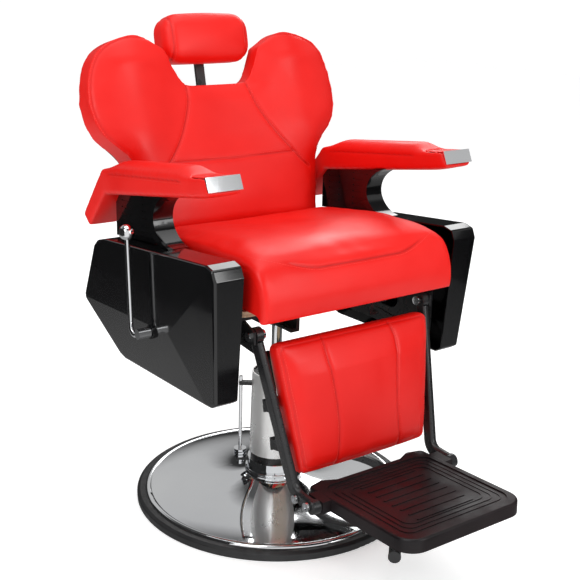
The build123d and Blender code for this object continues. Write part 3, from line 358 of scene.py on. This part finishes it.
# ---- red upholstery ------------------------------------------------------------------------------
# Smooth, bright red vinyl over moulded foam, cut in panels, sewn with matching thread and drawn
# down at each seam.  Each piece starts from its solid in the frame, swells, and is then sewn.
RED_DEEP = (0.70, 0.005, 0.0025, 1)
RED_BRIGHT = (0.79, 0.007, 0.0035, 1)
# The seam red is painted shade: a darker red laid in each seam's valley, where shade falls.
RED_SEAM_SHADE = (0.52, 0.004, 0.003, 1)
vinyl, vinyl_tree, vinyl_shader = make_finish("red_vinyl", RED_BRIGHT[:3], 0.40)
vinyl_shader.inputs["Specular IOR Level"].default_value = 0.35
pebble_place = vinyl_tree.nodes.new("ShaderNodeTexCoord")
pebble = vinyl_tree.nodes.new("ShaderNodeTexVoronoi")
pebble.inputs["Scale"].default_value = 620
vinyl_tree.links.new(pebble_place.outputs["Object"], pebble.inputs["Vector"])
add_bump(vinyl_tree, vinyl_shader, pebble.outputs["Distance"], 0.10, 0.0004)
add_bump(vinyl_tree, vinyl_shader, add_noise(vinyl_tree, 26, 3), 0.14, 0.002)
add_bump(vinyl_tree, vinyl_shader, add_noise(vinyl_tree, 7, 2), 0.20, 0.006)
vary_roughness(vinyl_tree, vinyl_shader, add_noise(vinyl_tree, 10, 4), 0.34, 0.46)
# Painted shade: the vinyl blends to the darker seam red where the seam-shade mask is high.
seam_shade_attribute = vinyl_tree.nodes.new("ShaderNodeAttribute")
seam_shade_attribute.attribute_name = "painted_seam_shade"
tone = vinyl_tree.nodes.new("ShaderNodeMix")
tone.data_type = "RGBA"
tone.inputs["B"].default_value = RED_SEAM_SHADE
shade = vinyl_tree.nodes.new("ShaderNodeValToRGB")
shade.color_ramp.elements[0].position = 0.3
shade.color_ramp.elements[0].color = RED_DEEP
shade.color_ramp.elements[1].position = 0.7
shade.color_ramp.elements[1].color = RED_BRIGHT
vinyl_tree.links.new(add_noise(vinyl_tree, 5, 3), shade.inputs["Fac"])
vinyl_tree.links.new(shade.outputs["Color"], tone.inputs["A"])
vinyl_tree.links.new(seam_shade_attribute.outputs["Fac"], tone.inputs["Factor"])
vinyl_tree.links.new(tone.outputs["Result"], vinyl_shader.inputs["Base Color"])

THREAD_DEEP = (0.72, 0.02, 0.015)
THREAD_BRIGHT = (0.95, 0.10, 0.08)
thread, thread_tree, thread_shader = make_finish("red_thread", THREAD_BRIGHT, 0.55)
vary_colour(thread_tree, thread_shader, add_noise(thread_tree, 400), THREAD_DEEP, THREAD_BRIGHT)
add_bump(thread_tree, thread_shader, add_noise(thread_tree, 2500, 2), 0.4, 0.0002)


def evaluated_copy(piece):
    """The piece's shape with its modifiers applied, as a plain mesh on the same object."""
    bpy.context.view_layer.update()
    graph = bpy.context.evaluated_depsgraph_get()
    mesh = bpy.data.meshes.new_from_object(piece.evaluated_get(graph))
    piece.modifiers.clear()
    piece.data = mesh
    return piece


def points_of(piece):
    """The piece's vertices as an array."""
    flat = np.empty(len(piece.data.vertices) * 3)
    piece.data.vertices.foreach_get("co", flat)
    return flat.reshape(-1, 3)


def normals_of(piece):
    """The piece's vertex normals as an array."""
    flat = np.empty(len(piece.data.vertices) * 3)
    piece.data.vertices.foreach_get("normal", flat)
    return flat.reshape(-1, 3)


def set_points(piece, points):
    """Puts an array of places back into the piece."""
    piece.data.vertices.foreach_set("co", points.astype(np.float32).ravel())
    piece.data.update()


def step(value, low, high):
    """0 below low, 1 above high and smooth between."""
    part = np.clip((value - low) / (high - low), 0, 1)
    return part * part * (3 - 2 * part)


SWELL_FRAMES = 20
EVENING_ROUNDS = 14


def evened(piece, values, rounds):
    """Values at the vertices, shared out between neighbours so that they run smoothly."""
    pairs = np.empty(len(piece.data.edges) * 2, dtype=np.int64)
    piece.data.edges.foreach_get("vertices", pairs)
    one, other = pairs.reshape(-1, 2).T
    count = len(values)
    shares = np.bincount(one, minlength=count) + np.bincount(other, minlength=count)
    for turn in range(rounds):
        gathered = np.bincount(one, values[other], count) + np.bincount(other, values[one], count)
        values = 0.5 * values + 0.5 * gathered / np.maximum(shares, 1)
    return values


def foam_block(node, name, voxel, shrink, swell, rounding):
    """Foam cut to a node's space: remeshed evenly, drawn in, swollen by cloth pressure and eased."""
    foam = bpy.data.objects.new(name, nodes[node].data.copy())
    bpy.context.scene.collection.objects.link(foam)
    shell = bmesh.new()
    shell.from_mesh(foam.data)
    bmesh.ops.remove_doubles(shell, verts=shell.verts, dist=0.00002)
    shell.to_mesh(foam.data)
    shell.free()
    remesh = foam.modifiers.new("even_mesh", "REMESH")
    remesh.mode = "VOXEL"
    remesh.voxel_size = voxel
    ease = foam.modifiers.new("ease", "SMOOTH")
    ease.factor = 0.5
    ease.iterations = rounding
    evaluated_copy(foam)
    start = points_of(foam)
    set_points(foam, start - normals_of(foam) * shrink)
    if swell:
        inner = points_of(foam)
        outward = normals_of(foam)
        cloth = foam.modifiers.new("swell", "CLOTH")
        cloth.settings.quality = 4
        cloth.settings.mass = 0.3
        cloth.settings.tension_stiffness = 25
        cloth.settings.compression_stiffness = 25
        cloth.settings.bending_stiffness = 8
        cloth.settings.use_pressure = True
        cloth.settings.uniform_pressure_force = 4
        cloth.settings.effector_weights.gravity = 0
        cloth.point_cache.frame_start = 1
        cloth.point_cache.frame_end = SWELL_FRAMES
        for step_frame in range(1, SWELL_FRAMES + 1):
            bpy.context.scene.frame_set(step_frame)
        evaluated_copy(foam)
        bpy.context.scene.frame_set(1)
        puff = np.clip(((points_of(foam) - inner) * outward).sum(axis=1), 0, swell)
        set_points(foam, inner + outward * evened(foam, puff, EVENING_ROUNDS)[:, None])
    finer = foam.modifiers.new("finer", "SUBSURF")
    finer.levels = 1
    finer.render_levels = 1
    evaluated_copy(foam)
    return foam


def distance_to_line(places, line):
    """How far each 2-D place is from a line of 2-D points."""
    line = np.asarray(line, float)
    near = np.full(len(places), 1e9)
    for a, b in zip(line[:-1], line[1:]):
        along = b - a
        share = np.clip(((places - a) @ along) / (along @ along), 0, 1)
        near = np.minimum(near, np.linalg.norm(places - (a + share[:, None] * along), axis=1))
    return near


def curved(points, steps=60):
    """A smooth line through a few given points (Catmull-Rom)."""
    points = [np.array(p, float) for p in points]
    ends = [2 * points[0] - points[1], *points, 2 * points[-1] - points[-2]]
    result = []
    each = max(2, steps // (len(points) - 1))
    for i in range(len(points) - 1):
        p0, p1, p2, p3 = ends[i:i + 4]
        for s in np.linspace(0, 1, each, endpoint=False):
            result.append(0.5 * (2 * p1 + (p2 - p0) * s + (2 * p0 - 5 * p1 + 4 * p2 - p3) * s ** 2
                                 + (3 * p1 - p0 - 3 * p2 + p3) * s ** 3))
    result.append(points[-1])
    return np.array(result)


def finish_pad(piece, body, node):
    """Dresses a finished cushion in vinyl, smooths it, hangs it on its body and hides the old node."""
    piece.data.materials.clear()
    piece.data.materials.append(vinyl)
    piece.data.polygons.foreach_set("use_smooth", [True] * len(piece.data.polygons))
    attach(piece, body)
    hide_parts(node)


def mark_seam_shade(piece, depth):
    """Keeps how deep each point is drawn into a seam, as painted shade that darkens the vinyl's colour
    there.
    """
    marks = piece.data.attributes.new("painted_seam_shade", "FLOAT", "POINT")
    marks.data.foreach_set("value", np.clip(depth, 0, 1).astype(np.float32))


# Thread: one short rounded stitch at even steps along each sewn line.
stitch_tree = bpy.data.node_groups.new("stitch_row", "GeometryNodeTree")
stitch_tree.interface.new_socket("Geometry", in_out="INPUT", socket_type="NodeSocketGeometry")
for socket_name, socket_value in (
    ("Stitch Spacing", 0.0058),
    ("Stitch Length", 0.0021),
    ("Thread Radius", 0.00042),
):
    socket = stitch_tree.interface.new_socket(socket_name, in_out="INPUT", socket_type="NodeSocketFloat")
    socket.default_value = socket_value
thread_socket = stitch_tree.interface.new_socket(
    "Thread", in_out="INPUT", socket_type="NodeSocketMaterial")
stitch_tree.interface.new_socket("Geometry", in_out="OUTPUT", socket_type="NodeSocketGeometry")
row_in = stitch_tree.nodes.new("NodeGroupInput")
row_out = stitch_tree.nodes.new("NodeGroupOutput")
even_steps = stitch_tree.nodes.new("GeometryNodeResampleCurve")
even_steps.mode = "LENGTH"
one_stitch = stitch_tree.nodes.new("GeometryNodeMeshUVSphere")
one_stitch.inputs["Segments"].default_value = 5
one_stitch.inputs["Rings"].default_value = 4
one_stitch.inputs["Radius"].default_value = 1
stitch_size = stitch_tree.nodes.new("ShaderNodeCombineXYZ")
sew = stitch_tree.nodes.new("GeometryNodeInstanceOnPoints")
tangent = stitch_tree.nodes.new("GeometryNodeInputTangent")
along_line = stitch_tree.nodes.new("FunctionNodeAlignEulerToVector")
along_line.axis = "Z"
realize = stitch_tree.nodes.new("GeometryNodeRealizeInstances")
dye = stitch_tree.nodes.new("GeometryNodeSetMaterial")
for a, b in (
    (row_in.outputs["Geometry"], even_steps.inputs["Curve"]),
    (row_in.outputs["Stitch Spacing"], even_steps.inputs["Length"]),
    (even_steps.outputs["Curve"], sew.inputs["Points"]),
    (one_stitch.outputs["Mesh"], sew.inputs["Instance"]),
    (row_in.outputs["Thread Radius"], stitch_size.inputs["X"]),
    (row_in.outputs["Thread Radius"], stitch_size.inputs["Y"]),
    (row_in.outputs["Stitch Length"], stitch_size.inputs["Z"]),
    (stitch_size.outputs["Vector"], sew.inputs["Scale"]),
    (tangent.outputs["Tangent"], along_line.inputs["Vector"]),
    (along_line.outputs["Rotation"], sew.inputs["Rotation"]),
    (sew.outputs["Instances"], realize.inputs["Geometry"]),
    (realize.outputs["Geometry"], dye.inputs["Geometry"]),
    (row_in.outputs["Thread"], dye.inputs["Material"]),
    (dye.outputs["Geometry"], row_out.inputs["Geometry"]),
):
    stitch_tree.links.new(a, b)


def sew_rows(name, cushion, rows, origin, across, up, facing, body):
    """Lays rows of stitches, given as lines of (across, up), on a cushion seen from one side."""
    skin = BVHTree.FromObject(cushion, bpy.context.evaluated_depsgraph_get())
    line_data = bpy.data.curves.new(name, "CURVE")
    line_data.dimensions = "3D"
    origin, across, up, facing = (Vector(v) for v in (origin, across, up, facing))
    for row in rows:
        held = []
        for a, u in row:
            start = origin + across * float(a) + up * float(u) + facing * 0.3
            place, normal, face, reach = skin.ray_cast(start, -facing)
            if place is not None:
                held.append(place + facing * 0.0002)
        if len(held) < 3:
            continue
        spline = line_data.splines.new("POLY")
        spline.points.add(len(held) - 1)
        for point, place in zip(spline.points, held):
            point.co = (*place, 1)
    sewn = bpy.data.objects.new(name, line_data)
    bpy.context.scene.collection.objects.link(sewn)
    rows_modifier = sewn.modifiers.new("stitches", "NODES")
    rows_modifier.node_group = stitch_tree
    rows_modifier[thread_socket.identifier] = thread
    graph = bpy.context.evaluated_depsgraph_get()
    mesh = bpy.data.meshes.new_from_object(sewn.evaluated_get(graph))
    bpy.data.objects.remove(sewn)
    stitches = bpy.data.objects.new(name, mesh)
    bpy.context.scene.collection.objects.link(stitches)
    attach(stitches, body)
    return stitches


def beside(line, gap):
    """A line of 2-D points moved sideways by a gap."""
    line = np.asarray(line, float)
    run = np.gradient(line, axis=0)
    run /= np.maximum(np.linalg.norm(run, axis=1, keepdims=True), 1e-9)
    return line + np.stack([-run[:, 1], run[:, 0]], axis=1) * gap


def groove(distance, width, depth):
    """A seam's valley: sharp at the bottom and easing out over its width."""
    return depth * np.exp(-(distance / width)) * (distance < 6 * width)


# ---- backrest cushion ----------------------------------------------------------------------------
# Two rounded wings either side of a sunken middle panel, with the top thinner than the foot.
# Sewn lines run down from the neck notch, and one crosses the back above the loins.
BACK_LEAN = radians(13.2)
back_foot = np.array((0, 0.160, 0.645))
back_up = np.array((0, sin(BACK_LEAN), cos(BACK_LEAN)))
back_front = np.array((0, -cos(BACK_LEAN), sin(BACK_LEAN)))
BACK_DEEP = 0.082
WING_MIDDLE = 0.225
LOIN_HALF_WIDTH = 0.172
WING_EDGE = (
    (0.253, 0.125), (0.274, 0.162), (0.318, 0.207), (0.338, 0.265), (0.333, 0.338), (0.303, 0.397),
    (0.240, 0.428), (0.178, 0.427), (0.132, 0.402), (0.106, 0.355), (0.090, 0.330),
)
back_cushion = foam_block("back_cushion", "back_cushion_red", 0.0062, 0.006, 0.014, 10)
places = points_of(back_cushion)
local = places - back_foot
side_ways = local[:, 0]
rise = local @ back_up
front = local @ back_front + BACK_DEEP
thinning = 1 - 0.36 * step(rise, 0.10, 0.36)
facing_front = step(front, 0.030, 0.060)
spread = np.abs(side_ways)
seen_flat = np.stack([spread, rise], axis=1)
panel_seam = curved(((0.080, 0.325), (0.094, 0.262), (0.132, 0.190), (0.186, 0.124), (0.214, 0.100)))
loin_seam = curved(((0.0, 0.136), (0.09, 0.138), (LOIN_HALF_WIDTH, 0.139)))
wing_seam = curved([(a * 0.965, (u - 0.27) * 0.955 + 0.27) for a, u in WING_EDGE], 120)
panel_gap = distance_to_line(seen_flat, panel_seam)
loin_gap = distance_to_line(seen_flat, loin_seam)
wing_gap = distance_to_line(seen_flat, wing_seam)
wing_puff = 0.016 * np.exp(-(((spread - WING_MIDDLE) / 0.075) ** 2))
wing_puff *= step(rise, 0.10, 0.22) * step(-rise, -0.44, -0.36)
middle_sink = -0.008 * np.exp(-((spread / 0.11) ** 2)) * step(rise, 0.12, 0.2)
loin_puff = 0.008 * np.exp(-(((rise - 0.055) / 0.05) ** 2)) * np.exp(-((spread / 0.19) ** 2))
on_loin = spread < LOIN_HALF_WIDTH
drawn = groove(panel_gap, 0.0035, 0.0045) + groove(loin_gap, 0.0032, 0.0030) * on_loin
drawn += groove(wing_gap, 0.0030, 0.0022)
rim_flat = step(front, 0.052, 0.068)
new_front = front * thinning + (wing_puff + middle_sink + loin_puff) * facing_front - drawn * rim_flat
set_points(back_cushion, places + np.outer(new_front - front, back_front))
# Painted shade along the panel, loin and wing seams, for the vinyl's colour.
seam_shading = np.exp(-panel_gap / 0.0016) + np.exp(-loin_gap / 0.0014) * on_loin
seam_shading += 0.7 * np.exp(-wing_gap / 0.0014)
mark_seam_shade(back_cushion, seam_shading * rim_flat)
finish_pad(back_cushion, "backrest", "back_cushion")
back_rows = []
for mirror in (1, -1):
    for gap in (-0.0045, 0.0045):
        back_rows.append(beside(panel_seam, gap) * (mirror, 1))
    back_rows.append(beside(wing_seam, -0.0042) * (mirror, 1))
    back_rows.append(beside(loin_seam, 0.0040) * (mirror, 1))
sew_rows("back_stitches", back_cushion, back_rows, back_foot, (1, 0, 0), back_up, back_front, "backrest")

# ---- seat cushion --------------------------------------------------------------------------------
# A deep pad, dished for the sitter, whose top panel laps over the front and meets the apron in a
# long bowed seam.
SEAT_HALF_WIDTH = 0.256
SEAM_LOW = 0.646
SEAM_BOW = 0.030


def bowed_seam(spread):
    """Height of the front seam: low in the middle and rising to the sides."""
    return SEAM_LOW + SEAM_BOW * step(spread, 0.10, 0.25)


seat_cushion = foam_block("seat_cushion", "seat_cushion_red", 0.0064, 0.005, 0.012, 9)
places = points_of(seat_cushion)
spread = np.abs(places[:, 0])
top = step(places[:, 2], 0.615, 0.650)
front_face = step(-places[:, 1], 0.240, 0.290)
dish = -0.010 * np.exp(-((spread / 0.15) ** 2)) * np.exp(-(((places[:, 1] + 0.03) / 0.12) ** 2))
crown = 0.010 * (1 - (spread / SEAT_HALF_WIDTH) ** 4) * step(-places[:, 1], -0.10, 0.20)
places[:, 2] += (dish + crown) * top
forward = 0.008 * np.cos(np.clip(spread / SEAT_HALF_WIDTH, 0, 1) * pi / 2)
places[:, 1] -= forward * front_face * step(places[:, 2], 0.55, 0.60)
bow = bowed_seam(spread)
front_seam_gap = np.abs(places[:, 2] - bow)
apron = step(-places[:, 1], 0.262, 0.280)
side_seam_gap = np.abs(places[:, 2] - (0.634 + 0.020 * step(-places[:, 1], 0.10, 0.26)))
side_wall = step(spread, 0.2485, 0.2525) * (1 - apron)
low_front = (1 - step(places[:, 2], 0.535, 0.575)) * step(-places[:, 1], 0.21, 0.26)
places[:, 2] += 0.007 * low_front      # room for the leg rest, which swings up under the front
over_seam = step(places[:, 2] - bow, -0.001, 0.004) * step(bow - places[:, 2], -0.030, -0.004)
places[:, 1] -= 0.002 * over_seam * apron
pull = groove(front_seam_gap, 0.0034, 0.0036) * apron
places[:, 1] += pull
places[:, 2] -= pull * 0.5
places[:, 0] -= np.sign(places[:, 0]) * groove(side_seam_gap, 0.003, 0.003) * side_wall
set_points(seat_cushion, places)
# Painted shade along the front and side seams, for the vinyl's colour.
seam_shading = np.exp(-front_seam_gap / 0.0016) * apron
seam_shading += np.exp(-side_seam_gap / 0.0015) * side_wall
mark_seam_shade(seat_cushion, seam_shading)
finish_pad(seat_cushion, "seat", "seat_cushion")
across_seat = np.linspace(-0.236, 0.236, 120)
seat_row = np.stack([across_seat, bowed_seam(np.abs(across_seat)) - 0.0045], axis=1)
sew_rows("seat_stitches", seat_cushion, [seat_row], (0, -0.3, 0), (1, 0, 0), (0, 0, 1),
         (0, -1, 0), "seat")

# ---- headrest ------------------------------------------------------------------------------------
# A sausage-shaped pillow with a sewn round panel at each end, carried on a flat post.  It is
# fullest in the middle, where the head lies.
END_SEAM = 0.099
SEAM_TO_STITCH = 0.0045
headrest = foam_block("headrest_pad", "headrest_red", 0.0050, 0.003, 0.009, 8)
places = points_of(headrest)
spread = np.abs(places[:, 0])
head_middle = back_foot + back_up * 0.422 - back_front * 0.062
around = places - head_middle
end_gap = np.abs(spread - END_SEAM)
outward = around.copy()
outward[:, 0] = 0
outward /= np.maximum(np.linalg.norm(outward, axis=1, keepdims=True), 1e-9)
belly = 0.005 * np.cos(np.clip(spread / 0.12, 0, 1) * pi / 2) * step(around @ back_front, -0.020, 0.010)
set_points(headrest, places + outward * (belly - groove(end_gap, 0.003, 0.0030))[:, None])
mark_seam_shade(headrest, np.exp(-end_gap / 0.0014))
finish_pad(headrest, "headrest", "headrest_pad")
up_the_end = np.linspace(0.370, 0.474, 40)
end_rows = []
for row_x in (END_SEAM - SEAM_TO_STITCH, END_SEAM + SEAM_TO_STITCH):
    for mirror in (-1, 1):
        end_rows.append(np.stack([np.full(40, mirror * row_x), up_the_end], axis=1))
sew_rows("headrest_stitches", headrest, end_rows, back_foot, (1, 0, 0), back_up, back_front, "headrest")

# ---- leg rest pad --------------------------------------------------------------------------------
# A crowned pad that narrows to its foot, with two bowed seams down it and one round its edge.  It
# thins towards the head, which swings up under the seat as the leg rest rises.
leg_foot = np.array((0, -0.334, 0.224))
leg_head = np.array((0, -0.283, 0.505))
LEG_LONG = float(np.linalg.norm(leg_head - leg_foot))
leg_up = (leg_head - leg_foot) / LEG_LONG
leg_front = np.array((0, -leg_up[2], leg_up[1]))
leg_pad = foam_block("leg_pad", "leg_pad_red", 0.0052, 0.003, 0.010, 8)
places = points_of(leg_pad)
local = places - leg_foot
rise = local @ leg_up
front = local @ leg_front + 0.044
edge = 0.173 + 0.034 * rise / LEG_LONG
share = np.clip(np.abs(places[:, 0]) / edge, 0, 1)
face = step(front, 0.018, 0.034)
swell = 0.017 * (1 - share ** 2.6) * (0.35 + 0.65 * np.sin(np.clip(rise / LEG_LONG, 0, 1) * pi) ** 0.7)
swell *= 1 - 0.8 * step(rise, 0.205, 0.265)
head_sink = -0.003 * step(rise, 0.235, 0.275)
leg_seam = curved(((0.088, 0.282), (0.092, 0.240), (0.084, 0.170), (0.079, 0.090), (0.086, 0.0)))
seen_flat = np.stack([np.abs(places[:, 0]), rise], axis=1)
leg_seam_gap = distance_to_line(seen_flat, leg_seam)
rim_line = np.array([
    (0.0, 0.012), (0.150, 0.012), (0.162, 0.022), (0.194, 0.262), (0.186, 0.272), (0.0, 0.272),
])
rim_gap = distance_to_line(seen_flat, rim_line)
sewn = step(front, 0.030, 0.040)
pull = (groove(leg_seam_gap, 0.0033, 0.0040) + groove(rim_gap, 0.003, 0.0022)) * sewn
set_points(leg_pad, places + np.outer((swell + head_sink) * face - pull, leg_front))
mark_seam_shade(leg_pad, (np.exp(-leg_seam_gap / 0.0015) + 0.7 * np.exp(-rim_gap / 0.0013)) * sewn)
finish_pad(leg_pad, "legrest", "leg_pad")
leg_rows = []
for mirror in (1, -1):
    leg_rows.append(beside(leg_seam, 0.0045) * (mirror, 1))
    for gap in (0.0045, -0.0035):
        leg_rows.append(beside(curved(rim_line[1:5], 90), gap) * (mirror, 1))
sew_rows("leg_stitches", leg_pad, leg_rows, leg_foot, (1, 0, 0), leg_up, leg_front, "legrest")

# ---- arm pads ------------------------------------------------------------------------------------
# Bent pads that rise in a soft roll along the top and run down behind.  A seam follows each long
# side just below the top, and a padded lid covers the ashtray at the front.
ARM_MIDDLE = 0.3015
ARM_TOP = 0.8075
ARM_SLOPE = 0.125
for side_name, side in (("left", -1), ("right", 1)):
    arm_pad = foam_block(f"arm_pad_{side_name}", f"arm_pad_red_{side_name}", 0.0045, 0.0010, 0.005, 14)
    places = points_of(arm_pad)
    off_middle = places[:, 0] * side - ARM_MIDDLE
    line_top = ARM_TOP - places[:, 1] * ARM_SLOPE
    below_top = line_top - places[:, 2]
    before_bend = step(-places[:, 1], -0.190, -0.120)
    on_top = step(-below_top, -0.030, -0.006) * before_bend
    roll = 0.013 * (1 - np.clip(np.abs(off_middle) / 0.0395, 0, 1) ** 2.4)
    fades = step(places[:, 1], -0.165, -0.120)
    places[:, 2] += roll * on_top * fades
    outer_seam_gap = np.abs(below_top - 0.0115)
    walls = step(np.abs(off_middle), 0.0345, 0.0375) * step(places[:, 1], -0.150, -0.130)
    walls *= step(-places[:, 1], -0.175, -0.150)
    places[:, 0] -= np.sign(off_middle) * side * groove(outer_seam_gap, 0.0028, 0.0022) * walls
    set_points(arm_pad, places)
    mark_seam_shade(arm_pad, np.exp(-outer_seam_gap / 0.0014) * walls)
    finish_pad(arm_pad, "seat", f"arm_pad_{side_name}")
    sewn_along = np.linspace(-0.150, 0.155, 90)
    arm_row = np.stack([sewn_along, ARM_TOP - sewn_along * ARM_SLOPE - 0.0150], axis=1)
    sew_rows(f"arm_stitches_{side_name}", arm_pad, [arm_row], (side * 0.3, 0, 0), (0, 1, 0), (0, 0, 1),
             (side, 0, 0), "seat")

    lid = foam_block(f"ashtray_lid_{side_name}", f"ashtray_lid_red_{side_name}", 0.0016, 0, 0, 3)
    finish_pad(lid, f"ashtray_lid_{side_name}", f"ashtray_lid_{side_name}")

# ---- back board ----------------------------------------------------------------------------------
# A plywood panel screwed behind the backrest and covered in grained black vinyl, with a duller
# shine than the mouldings.
SKIN_DARK = (0.010, 0.010, 0.011)
SKIN_PALE = (0.020, 0.020, 0.021)
skin, skin_tree, skin_shader = make_finish("black_grained_vinyl", SKIN_DARK, 0.45)
grain_place = skin_tree.nodes.new("ShaderNodeTexCoord")
grain = skin_tree.nodes.new("ShaderNodeTexVoronoi")
grain.inputs["Scale"].default_value = 420
skin_tree.links.new(grain_place.outputs["Object"], grain.inputs["Vector"])
add_bump(skin_tree, skin_shader, grain.outputs["Distance"], 0.35, 0.0006)
vary_roughness(skin_tree, skin_shader, add_noise(skin_tree, 12, 4), 0.38, 0.55)
vary_colour(skin_tree, skin_shader, add_noise(skin_tree, 6), SKIN_DARK, SKIN_PALE)
give(skin, "back_board")

# ---- end -----------------------------------------------------------------------------------------
bpy.context.view_layer.update()
